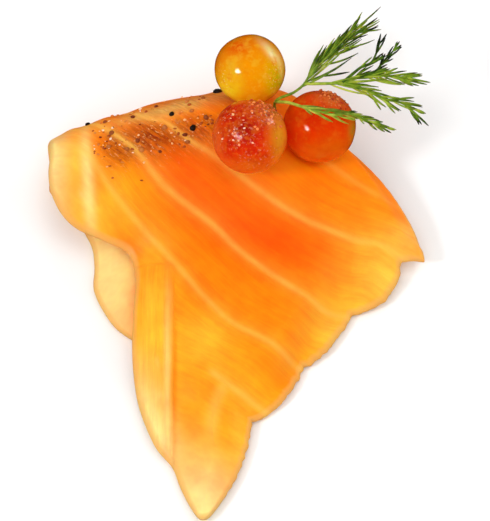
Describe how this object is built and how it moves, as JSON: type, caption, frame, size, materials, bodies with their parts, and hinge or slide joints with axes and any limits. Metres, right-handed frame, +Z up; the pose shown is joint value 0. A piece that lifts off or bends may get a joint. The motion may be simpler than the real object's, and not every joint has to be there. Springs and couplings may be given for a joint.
{
  "type": "salmon sashimi slice",
  "caption": "Thin folded slice of salmon topped with roe beads, a sprig of dill and coarse pepper, lying on its folded-under layer.",
  "frame": {"origin": "middle of the footprint of the whole, on the surface that the slice rests on", "axes": "+Z up out of the shown side, +Y from the slice's pointed tip towards its fold, +X across the fold towards the dill"},
  "size_m": [0.0504, 0.0644, 0.0216],
  "materials": {
    "salmon": "moist, semi-translucent, orange with pale lines and a browned, peppered fold",
    "roe_yellow": "wet, translucent yellow-orange",
    "roe_red": "wet, translucent orange-red",
    "dill": "fresh green, faintly waxy"
  },
  "bodies": {
    "root": {"salmon_slice": "salmon", "roe_front": "roe_red", "roe_top": "roe_yellow", "roe_right": "roe_red", "dill_sprig": "dill"}
  },
  "joints": []
}
